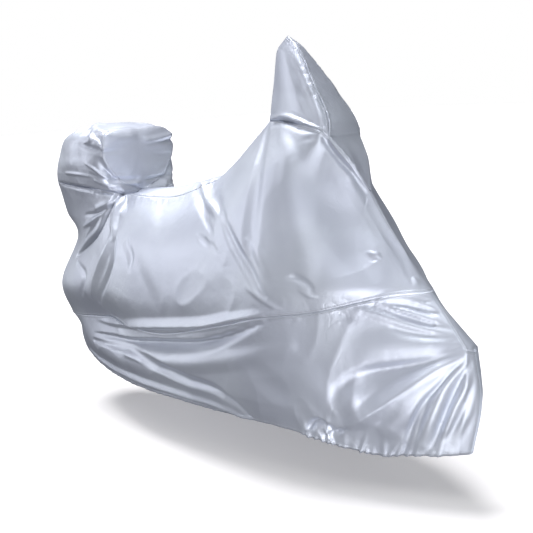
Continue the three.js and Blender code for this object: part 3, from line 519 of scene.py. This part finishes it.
def buildBoxWrap(side, topRow):
    wrapStations = bodyStations[bodyStations <= landmark["boxNeck"]]
    beyond = np.linspace(landmark["boxNeck"], landmark["boxSeam"], fineness["boxCorner"] + 1)[1:]
    foot = topRow[:len(wrapStations)]
    toNeck = np.linspace(foot[-1], form["boxNeck"], len(beyond) + 1)[1:]
    columns = np.concatenate([wrapStations, beyond])
    lines = [np.vstack([foot, toNeck])] + [lineCurve(rows, columns) for rows in boxLines.values()]
    boxHeights = spread(fineness["box"])
    grid = acrossLines(np.array(lines), boxHeights)
    grid[..., 2] = np.maximum(grid[..., 2], 0)
    seams = borders(grid, columns)
    seed = 30 if side < 0 else 80
    lift = gather(seams, "bottom", spans["boxFoot"], seed=seed, **gathers["boxFoot"])
    lift += gather(seams, "front", spans["whole"], seed=seed + 1, **gathers["boxSeam"])
    cloth.addGrid("box_wrap", mirrored(grid, side), lift, clothPlaces(seams, ["bottom", "front"]),
                  side > 0)
    return {"seam": grid[:, -1], "neckEdge": lines[0][len(wrapStations) - 1:]}


def buildFinSide(side, topRow):
    first = int(np.argmin(abs(bodyStations - landmark["finRear"])))
    last = int(np.argmin(abs(bodyStations - landmark["finFront"])))
    foot = topRow[first:last + 1]
    peak = len(finRear) - 1
    v = np.linspace(0, 1, fineness["fin"] + 1)[:, None, None]
    u = np.linspace(0, 1, len(foot))[None, :, None]
    rear = lineCurve(finRear, v.ravel() * peak)[:, None]
    front = lineCurve(finFront, v.ravel() * peak)[:, None]
    edges = rear * (1 - u) + front * u
    grid = foot[None] * (1 - v) + edges[-1:] * v + edges - (edges[:1] * (1 - v) + edges[-1:] * v)
    grid[..., 2:] += form["finBelly"] * np.sin(math.pi * u) * np.sin(math.pi * v)
    seams = borders(grid)
    seed = 40 if side < 0 else 90
    lift = gather(seams, "front", spans["whole"], seed=seed, **gathers["finSeam"])
    lift += gather(seams, "bottom", spans["whole"], seed=seed + 1, **gathers["finFoot"])
    places = clothPlaces(seams, ["bottom", "front", "rear"])
    cloth.addGrid("fin_side_" + sideName[side], mirrored(grid, side), lift, places, side > 0)
    return grid


def ladder(edge, crown, steps):
    # Rungs from the right edge to its mirror image, arched up to a crown (x, z) in the middle
    s = np.linspace(0, 1, steps + 1)[None, :, None]
    arch = 4 * s * (1 - s)
    grid = np.repeat(mirrored(edge, -1)[:, None], steps + 1, axis=1)
    grid[..., 1:2] = grid[..., 1:2] * (1 - 2 * s)
    grid[..., 0:1] += np.asarray(crown)[:, None, 0:1] * arch
    grid[..., 2:3] += np.asarray(crown)[:, None, 1:2] * arch
    return grid


def bothSides(path):
    # A path on the right side that ends on the middle plane, and its mirror image
    right = mirrored(path, -1)
    return np.vstack([right, (right * (1, -1, 1))[-2::-1]])


def addStrip(panel, grid, sewn, flip, seed, like):
    # A panel across the middle, gathered along its side seams like the named border
    seams = borders(grid)
    lift = np.zeros(grid.shape[:2])
    for number, border in enumerate(b for b in sewn if b in ("rear", "front")):
        lift += gather(seams, border, spans["whole"], seed=seed + number, **gathers[like])
    cloth.addGrid(panel, grid, lift, clothPlaces(seams, sewn), flip)


def buildSeatStrip(topRow, fin, box):
    first = int(np.argmin(abs(bodyStations - landmark["boxNeck"])))
    last = int(np.argmin(abs(bodyStations - landmark["finRear"])))
    edge = np.vstack([topRow[first:last + 1], fin[1:, 0], fin[-1, 1:]])
    upTheFin = landmark["finRear"] + 2 * np.arange(1, len(fin)) / (len(fin) - 1)
    place = np.concatenate([bodyStations[first:last + 1], upTheFin, np.full(fin.shape[1] - 1, 8)])
    table = np.array(form["seatCrown"], float)
    crown = np.stack([np.interp(place, table[:, 0], table[:, i]) for i in (1, 2)], axis=1)
    grid = ladder(edge, crown, fineness["strip"])
    middle = np.linspace(box["neckEdge"][-1], (form["boxNeck"][0], form["boxNeck"][1], 0), 3)[1:]
    grid[0] = bothSides(np.vstack([box["neckEdge"], middle]))
    addStrip("seat_strip", grid, ["rear", "front"], True, seed=120, like="seatSeam")


def buildBoxFront(seam):
    steps = fineness["box"]
    cornerRow = sum(steps[:3])
    height = spread(steps)[:cornerRow + 1]
    look = form["boxFrontEase"]
    fade = np.clip((look["end"] - height) / look["fade"], 0, 1)
    ease = np.minimum(height / look["full"], 1) * np.sqrt(fade)
    crown = np.stack([form["boxFrontCrown"] * ease, 0 * ease], axis=1)
    grid = ladder(seam[:cornerRow + 1], crown, 2 * steps[3])
    grid[-1] = bothSides(seam[cornerRow:])
    addStrip("box_front", grid, ["rear", "front", "top"], False, seed=130, like="boxSeam")


def buildScreenFront(topRow, fin):
    point = int(np.argmin(abs(bodyStations - landmark["screenPoint"])))
    corner = int(np.argmin(abs(bodyStations - landmark["finFront"])))
    edge = np.vstack([topRow[corner:point + 1][::-1], fin[1:, -1]])
    rows = point - corner
    crown = np.zeros((len(edge), 2))
    crown[:rows + 1, 0] = np.linspace(0, form["screenCrown"]["foot"], rows + 1)
    above = len(edge) - rows - 1
    ends = form["screenCrown"]["above"], form["screenCrown"]["peak"]
    crown[rows + 1:, 0] = np.linspace(*ends, above)
    grid = ladder(edge, crown, fineness["screen"])
    addStrip("screen_front", grid, ["rear", "front"], False, seed=140, like="finSeam")


def buildNoseGusset(noseEdge, noseFace):
    share = 1 - np.linspace(0, 1, len(noseEdge))
    crown = np.outer(share, form["gussetCrown"])
    grid = ladder(noseEdge, crown, 2 * fineness["stations"][-1])
    grid[0] = bothSides(noseFace)
    addStrip("nose_gusset", grid, ["rear", "front"], False, seed=150, like="gusset")


for side in (-1, 1):
    body = buildBody(side)
    box = buildBoxWrap(side, body["top"])
    fin = buildFinSide(side, body["top"])
buildSeatStrip(body["top"], fin, box)
buildBoxFront(box["seam"])
buildScreenFront(body["top"], fin)
buildNoseGusset(body["noseEdge"], body["noseFace"])
cloth.weld()
print("Form:", len(cloth.points), "points in", len(cloth.quads), "panels")


def smoothPath(rows, steps=6):
    # A Catmull-Rom curve through the rows of a crease
    rows = np.array(rows, float)
    ends = np.vstack([2 * rows[0] - rows[1], rows, 2 * rows[-1] - rows[-2]])
    path = []
    for before, start, end, after in zip(ends, ends[1:], ends[2:], ends[3:]):
        for t in np.arange(steps) / steps:
            path.append(hermite(start, end, (end - before) / 2, (after - start) / 2, t))
    return np.array(path + [rows[-1]])


def creaseLift(crease, x, z):
    # How far one crease lifts the cloth at each place
    crest, lean, rows = crease
    path = smoothPath(rows)
    lift = np.zeros(len(x))
    reach = 2 * max(row[2] for row in rows)
    near = np.flatnonzero((x > path[:, 0].min() - reach) & (x < path[:, 0].max() + reach)
                          & (z > path[:, 1].min() - reach) & (z < path[:, 1].max() + reach))
    if not len(near):
        return lift
    start, step = path[:-1], np.diff(path, axis=0)
    offX, offZ = x[near, None] - start[:, 0], z[near, None] - start[:, 1]
    length = np.maximum(np.hypot(step[:, 0], step[:, 1]), 1e-6)
    along = np.clip((offX * step[:, 0] + offZ * step[:, 1]) / length ** 2, 0, 1)
    missX, missZ = offX - step[:, 0] * along, offZ - step[:, 1] * along
    away = np.hypot(missX, missZ)
    best = away.argmin(axis=1)
    pick = np.arange(len(near)), best
    side = np.sign(step[best, 0] * missZ[pick] - step[best, 1] * missX[pick])
    width = start[best, 2] + step[best, 2] * along[pick]
    distance = away[pick] / (width * (1 + side * lean))
    soft = np.clip(1 - distance ** 2, 0, 1) ** 2
    sharp = np.clip(1 - distance, 0, 1) ** 1.3
    profile = soft * (1 - crest) + sharp * crest
    lift[near] = (start[best, 3] + step[best, 3] * along[pick]) * profile
    return lift


def hiddenCreases():
    # Variations of the creases that show, for the side that doesn't
    picker = np.random.RandomState(hiddenSide["seed"])
    for crest, lean, rows in creasesRight:
        move = picker.uniform(-1, 1, 2) * hiddenSide["move"]
        scale = picker.uniform(*hiddenSide["scale"])
        bends = picker.uniform(-1, 1, (len(rows), 2)) * hiddenSide["bend"]
        if picker.uniform() > hiddenSide["leftOut"]:
            yield crest, lean, [(x + move[0] + bend[0], z + move[1] + bend[1], width, lift * scale)
                                for (x, z, width, lift), bend in zip(rows, bends)]


crumples = {
    "seed": 5,
    "coarse": {"size": 150, "lift": 4.5, "sharp": 3.0},
    "fine": {"size": 40, "lift": 0.8, "sharp": 2.0},
    "patch": {"size": 330, "contrast": 1.6, "level": 0.6},
    "bend": {"size": 0.45, "reach": 0.8},
    "level": 0.45,
    # Calm stretches of cloth pulled tight: x, z, reach and how much of the crumpling stays
    "calm": [(420, 900, 330, 0.35), (260, 1270, 170, 0.3), (-350, 700, 260, 0.5),
             (900, 500, 300, 0.4)],
}


def crumpled(points):
    # Broken ridges that branch, as in coated cloth that lay folded in its bag
    noise.seed_set(crumples["seed"])  # without it the bends would change from run to run
    result = np.zeros(len(points))
    bend, patches = crumples["bend"], crumples["patch"]
    for look in (crumples["coarse"], crumples["fine"]):
        apart = Vector((3, 5, look["size"]))
        for i, point in enumerate(points):
            place = Vector(point) / look["size"]
            bent = place + noise.noise_vector(place * bend["size"]) * bend["reach"]
            ridge = 1 - abs(noise.noise(bent))
            patch = noise.noise(Vector(point) / patches["size"] + apart)
            share = min(max(patch * patches["contrast"] + patches["level"], 0), 1)
            result[i] += look["lift"] * share * (ridge ** look["sharp"] - crumples["level"])
    for x, z, reach, stays in crumples["calm"]:
        away = np.hypot(points[:, 0] - x, points[:, 2] - z)
        result *= stays + (1 - stays) * smoothStep(away, reach * 0.5, reach)
    return result


# Where the cloth is pulled straight, in mm: the middle line of the nose keeps its narrow corners,
# and the hidden side is calm beside the fin and beside the nose
straight = {
    "noseFrom": 850,
    "noseFade": 70,
    "finFrom": {"x": (330, 420), "z": (640, 760)},
    "noseFront": {"x": (560, 680), "y": (150, 230)},
    "share": 0.85,
}


def shapeFolds():
    normals = cloth.normals()
    x, y, z = cloth.points.T
    lift = cloth.lifts + crumpled(cloth.points)
    for side, creases in ((-1, creasesRight), (1, list(hiddenCreases()))):
        mine = y * side > 0
        lift[mine] += sum(creaseLift(crease, x[mine], z[mine]) for crease in creases)
    fade = np.where(x > straight["noseFrom"], straight["noseFade"], form["middleFade"])
    lift *= np.clip(abs(y) / fade, 0, 1) ** 1.5
    beside = straight["finFrom"]
    finEdge = smoothStep(x, *beside["x"]) * smoothStep(z, *beside["z"])
    beside = straight["noseFront"]
    noseEdge = smoothStep(x, *beside["x"]) * (1 - smoothStep(y, *beside["y"]))
    lift *= 1 - straight["share"] * (y > 0) * np.maximum(finEdge, noseEdge)
    cloth.points = cloth.points + normals * lift[:, None]


shapeFolds()
print("Folds: done")


class Value:
    # A socket that carries a number, a colour or a vector, with the usual operators

    def __init__(self, tree, socket):
        self.tree, self.socket = tree, socket

    def numbers(self, operation, *others):
        isVector = self.socket.type in ("VECTOR", "RGBA")
        node = self.tree.nodes.new("ShaderNodeVectorMath" if isVector else "ShaderNodeMath")
        node.operation = operation
        for entry, value in zip(node.inputs, others):
            if isinstance(value, Value):
                self.tree.links.new(value.socket, entry)
            elif isVector and not isinstance(value, (tuple, list)):
                entry.default_value = (value, value, value)
            else:
                entry.default_value = value
        return Value(self.tree, node.outputs[0])

    def __add__(self, other):
        return self.numbers("ADD", self, other)

    def __radd__(self, other):
        return self.numbers("ADD", other, self)

    def __sub__(self, other):
        return self.numbers("SUBTRACT", self, other)

    def __rsub__(self, other):
        return self.numbers("SUBTRACT", other, self)

    def __mul__(self, other):
        return self.numbers("MULTIPLY", self, other)

    def __rmul__(self, other):
        return self.numbers("MULTIPLY", other, self)

    def sine(self):
        return self.numbers("SINE", self)

    def size(self):
        return self.numbers("ABSOLUTE", self)


class Finish:
    # One material, or the world, and its nodes

    def __init__(self, owner):
        owner.use_nodes = True
        self.owner = owner
        self.tree = owner.node_tree
        self.tree.nodes.clear()

    def node(self, kind, settings=None, sockets=None, out=0):
        node = self.tree.nodes.new("ShaderNode" + kind)
        for name, value in (settings or {}).items():
            if name == "stops":
                ramp = node.color_ramp
                for i, (place, grey) in enumerate(value):
                    stop = ramp.elements[i] if i < 2 else ramp.elements.new(place)
                    stop.position, stop.color = place, (grey, grey, grey, 1)
            else:
                setattr(node, name, value)
        for name, value in (sockets or {}).items():
            entry = node.inputs[name]
            if isinstance(value, Value):
                self.tree.links.new(value.socket, entry)
            else:
                entry.default_value = value
        return Value(self.tree, node.outputs[out]) if len(node.outputs) else None

    def split(self, vector):
        return [self.node("SeparateXYZ", None, {0: vector}, out) for out in range(3)]

    def ramp(self, value, low, high):
        return self.node("MapRange", {"interpolation_type": "SMOOTHSTEP"},
                         {0: value, 1: low, 2: high, 3: 0.0, 4: 1.0})

    def mixColours(self, share, first, second):
        settings = {"data_type": "RGBA", "blend_type": "MIX"}
        return self.node("Mix", settings, {0: share, 6: first, 7: second}, 2)


silver = {
    "colour": (0.565, 0.595, 0.690, 1),
    "worn": (0.615, 0.650, 0.735, 1),
    "stitch": (0.40, 0.40, 0.44, 1),
    "metallic": 0.55,
    "roughness": 0.47,
    "threadPitch": 0.0009,
    "stitchLength": 0.0042,
    "seamWidth": 0.009,
    "weaveDepth": 0.00003,
    "seamHeight": 0.0007,
    "stitchDepth": 0.0005,
    "crinkleDepth": 0.0016,
    "creaseDepth": 0.0004,
    # How many of each fit in a metre, about
    "dents": 26.0,
    "warps": 9.0,
    "creases": 17.0,
    "patches": 5.0,
    "clouds": 3.0,
}


def silverCloth():
    finish = Finish(bpy.data.materials.new("silver_cloth_finish"))
    place = finish.node("TexCoord", None, None, 3)
    clothPlace = finish.node("UVMap", {"uv_map": "cloth"})
    seamPlace = finish.node("UVMap", {"uv_map": "seam"})
    u, v = finish.split(clothPlace)[:2]
    along, away = finish.split(seamPlace)[:2]

    # Threads of a plain weave under the coating
    turn = 2 * math.pi / silver["threadPitch"]
    weave = (u * turn).sine() * (v * turn).sine()

    # Soft dents and the sharper broken creases of coated cloth that was folded in its bag
    dents = finish.node("TexNoise", None, {"Vector": place, "Scale": silver["dents"],
                                           "Detail": 3.0, "Roughness": 0.55})
    warp = finish.node("TexNoise", None, {"Vector": place, "Scale": silver["warps"],
                                          "Detail": 2.0}, 1)
    bent = place + (warp - 0.5) * 0.08
    creases = finish.node("TexNoise", None, {"Vector": bent, "Scale": silver["creases"],
                                             "Detail": 2.0})
    creases = 1 - finish.ramp((creases - 0.5).size(), 0.0, 0.07)
    patches = finish.node("TexNoise", None, {"Vector": place, "Scale": silver["patches"],
                                             "Detail": 2.0})
    patches = finish.ramp(patches, 0.45, 0.7)
    nearSeam = 1 - finish.ramp(away, 0.0, 0.06)

    # A sewn seam: a raised double layer and a row of stitches
    layer = 1 - finish.ramp(away, silver["seamWidth"] - 0.001, silver["seamWidth"] + 0.001)
    row = 1 - finish.ramp((away - silver["seamWidth"] * 0.7).size(), 0.0006, 0.0014)
    dash = finish.ramp((along * (2 * math.pi / silver["stitchLength"])).sine(), -0.4, 0.2)
    stitches = row * dash

    height = weave * silver["weaveDepth"]
    height = height + dents * silver["crinkleDepth"] * (0.55 + nearSeam * 0.8)
    height = height - creases * silver["creaseDepth"] * (patches * 0.7 + nearSeam * 0.5)
    height = height + layer * silver["seamHeight"] - row * silver["stitchDepth"]
    bump = finish.node("Bump", None, {"Strength": 1.0, "Distance": 1.0, "Height": height})

    cloudy = finish.node("TexNoise", None, {"Vector": place, "Scale": silver["clouds"],
                                            "Detail": 4.0})
    colour = finish.mixColours(finish.ramp(cloudy, 0.4, 0.62), silver["colour"], silver["worn"])
    colour = finish.mixColours(stitches * 0.7, colour, silver["stitch"])
    roughness = silver["roughness"] + (cloudy - 0.5) * 0.12 + stitches * 0.2
    shader = finish.node("BsdfPrincipled", None, {
        "Base Color": colour, "Metallic": silver["metallic"], "Roughness": roughness,
        "Normal": bump, "Specular IOR Level": 0.5})
    finish.node("OutputMaterial", None, {"Surface": shader})
    return finish.owner


def makeMesh(panel):
    quads = cloth.quads[panel]
    whole = np.array([len(set(quad)) == 4 for quad in quads.tolist()])
    usedQuads, corners = quads[whole], cloth.corners[panel][whole]
    used, back = np.unique(usedQuads, return_inverse=True)
    points = (cloth.points[used] - np.array(form["origin"])) / 1000
    faces = back.reshape(usedQuads.shape)
    mesh = bpy.data.meshes.new(panel + "_cloth")
    mesh.from_pydata(points.tolist(), [], faces.tolist())
    clothMap = mesh.uv_layers.new(name="cloth")
    clothMap.data.foreach_set("uv", corners[..., 0:2].reshape(-1))
    seamMap = mesh.uv_layers.new(name="seam")
    seamMap.data.foreach_set("uv", corners[..., 2:4].reshape(-1))
    mesh.polygons.foreach_set("use_smooth", [True] * len(mesh.polygons))
    mesh.update()
    return mesh


clothFinish = silverCloth()
for panel in cloth.quads:
    piece = bpy.data.objects.new(panel + "_sheet", makeMesh(panel))
    bpy.context.scene.collection.objects.link(piece)
    thick = piece.modifiers.new("thickness", "SOLIDIFY")
    thick.thickness, thick.offset = form["clothThickness"], -1
    piece.data.materials.append(clothFinish)
    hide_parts(panel)
    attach(piece, "root")
    hung = sum(face.area for face in piece.data.polygons)
    print("Sheet:", panel, len(piece.data.polygons), "faces,", round(hung, 4), "m2 hung")

# Camera at the photograph's viewing angle
viewer = {
    "place": (2.98231, -2.36307, 0.34395),
    "heading": 0.83776,
    "downward": 0.1769,
    "roll": -0.06109,
    "lens": 68.79,
}


def addCamera():
    head, down, roll = viewer["heading"], viewer["downward"], viewer["roll"]
    ahead = Vector((-math.sin(head) * math.cos(down), math.cos(head) * math.cos(down),
                    -math.sin(down)))
    aside = Vector((math.cos(head), math.sin(head), 0))
    upright = aside.cross(ahead)
    right = math.cos(roll) * aside + math.sin(roll) * upright
    up = -math.sin(roll) * aside + math.cos(roll) * upright
    camera = bpy.data.objects.new("camera", bpy.data.cameras.new("camera"))
    bpy.context.scene.collection.objects.link(camera)
    turn = Matrix((right, up, -ahead)).transposed().to_4x4()
    camera.matrix_world = Matrix.Translation(viewer["place"]) @ turn
    camera.data.lens, camera.data.sensor_width = viewer["lens"], 36
    camera.data.clip_end = 100
    bpy.context.scene.camera = camera


addCamera()

studio = {
    "floorHeight": -0.936,
    "floorSize": 60,
    "floorColour": (0.84, 0.81, 0.80, 1),
    "floorGlow": (0.30, 0.30, 0.31, 1),
    "backdrop": (1.0, 1.0, 1.0, 1),
    "fill": (0.055, 0.058, 0.065, 1),
    # Soft suns: name, heading and height in degrees, how wide, strength, colour. The two below
    # the floor are the light that a pale yard throws back up.
    "lights": [
        ("top", 172, 68, 34, 3.6, (0.97, 0.98, 1.0)),
        ("topRight", 290, 64, 36, 0.65, (0.96, 0.99, 1.0)),
        ("front", 326, 6, 36, 1.1, (0.97, 0.98, 1.0)),
        ("frontLeft", 20, 36, 36, 0.25, (0.92, 0.98, 1.0)),
        ("rearRight", 212, 12, 40, 0.8, (0.97, 0.98, 1.0)),
        ("yardFront", 325, -32, 36, 0.8, (0.97, 0.97, 1.0)),
        ("yardFar", 75, -35, 40, 1.0, (0.90, 0.94, 1.0)),
    ],
    # Near panels of light, in m: name, place, where it points, side, power
    "panels": [
        ("lowFront", (1.75, -1.25, -0.85), (0.9, -0.1, -0.52), 0.7, 9.0),
        ("overBox", (-0.1, -0.2, 0.9), (-0.56, -0.02, 0.3), 0.4, 5.0),
    ],
}


def addStudio():
    bpy.ops.object.select_all(action="DESELECT")
    bpy.ops.mesh.primitive_plane_add(size=studio["floorSize"],
                                     location=(0, 0, studio["floorHeight"]))
    floor = bpy.context.object
    floor.name = "floor"
    paint = Finish(bpy.data.materials.new("floor_paint"))
    shader = paint.node("BsdfPrincipled", None, {
        "Base Color": studio["floorColour"], "Roughness": 0.9, "Specular IOR Level": 0.1,
        "Emission Color": studio["floorGlow"], "Emission Strength": 1.0})
    paint.node("OutputMaterial", None, {"Surface": shader})
    floor.data.materials.append(paint.owner)
    # The floor is only for the eye and for the shadow on it: it throws no light up at the cloth
    floor.visible_diffuse = floor.visible_glossy = floor.visible_shadow = False

    air = Finish(bpy.data.worlds.new("studio"))
    fill = air.node("Background", None, {"Color": studio["fill"]})
    backdrop = air.node("Background", None, {"Color": studio["backdrop"]})
    seen = air.node("LightPath")
    air.node("OutputWorld", None, {"Surface": air.node("MixShader", None, {
        0: seen, 1: fill, 2: backdrop})})
    bpy.context.scene.world = air.owner

    for name, heading, height, width, strength, colour in studio["lights"]:
        light = bpy.data.lights.new(name, "SUN")
        light.angle, light.energy, light.color = math.radians(width), strength, colour
        lamp = bpy.data.objects.new(name, light)
        bpy.context.scene.collection.objects.link(lamp)
        heading, height = math.radians(heading), math.radians(height)
        towards = Vector((math.cos(height) * math.cos(heading),
                          math.cos(height) * math.sin(heading), math.sin(height)))
        lamp.rotation_euler = towards.to_track_quat("Z", "Y").to_euler()
    for name, place, target, side, power in studio["panels"]:
        light = bpy.data.lights.new(name, "AREA")
        light.size, light.energy = side, power
        lamp = bpy.data.objects.new(name, light)
        bpy.context.scene.collection.objects.link(lamp)
        lamp.location = place
        lamp.rotation_euler = (Vector(place) - Vector(target)).to_track_quat("Z", "Y").to_euler()
        lamp.visible_camera = False
    bpy.context.scene.view_settings.view_transform = "Standard"


addStudio()
print("Studio: done")
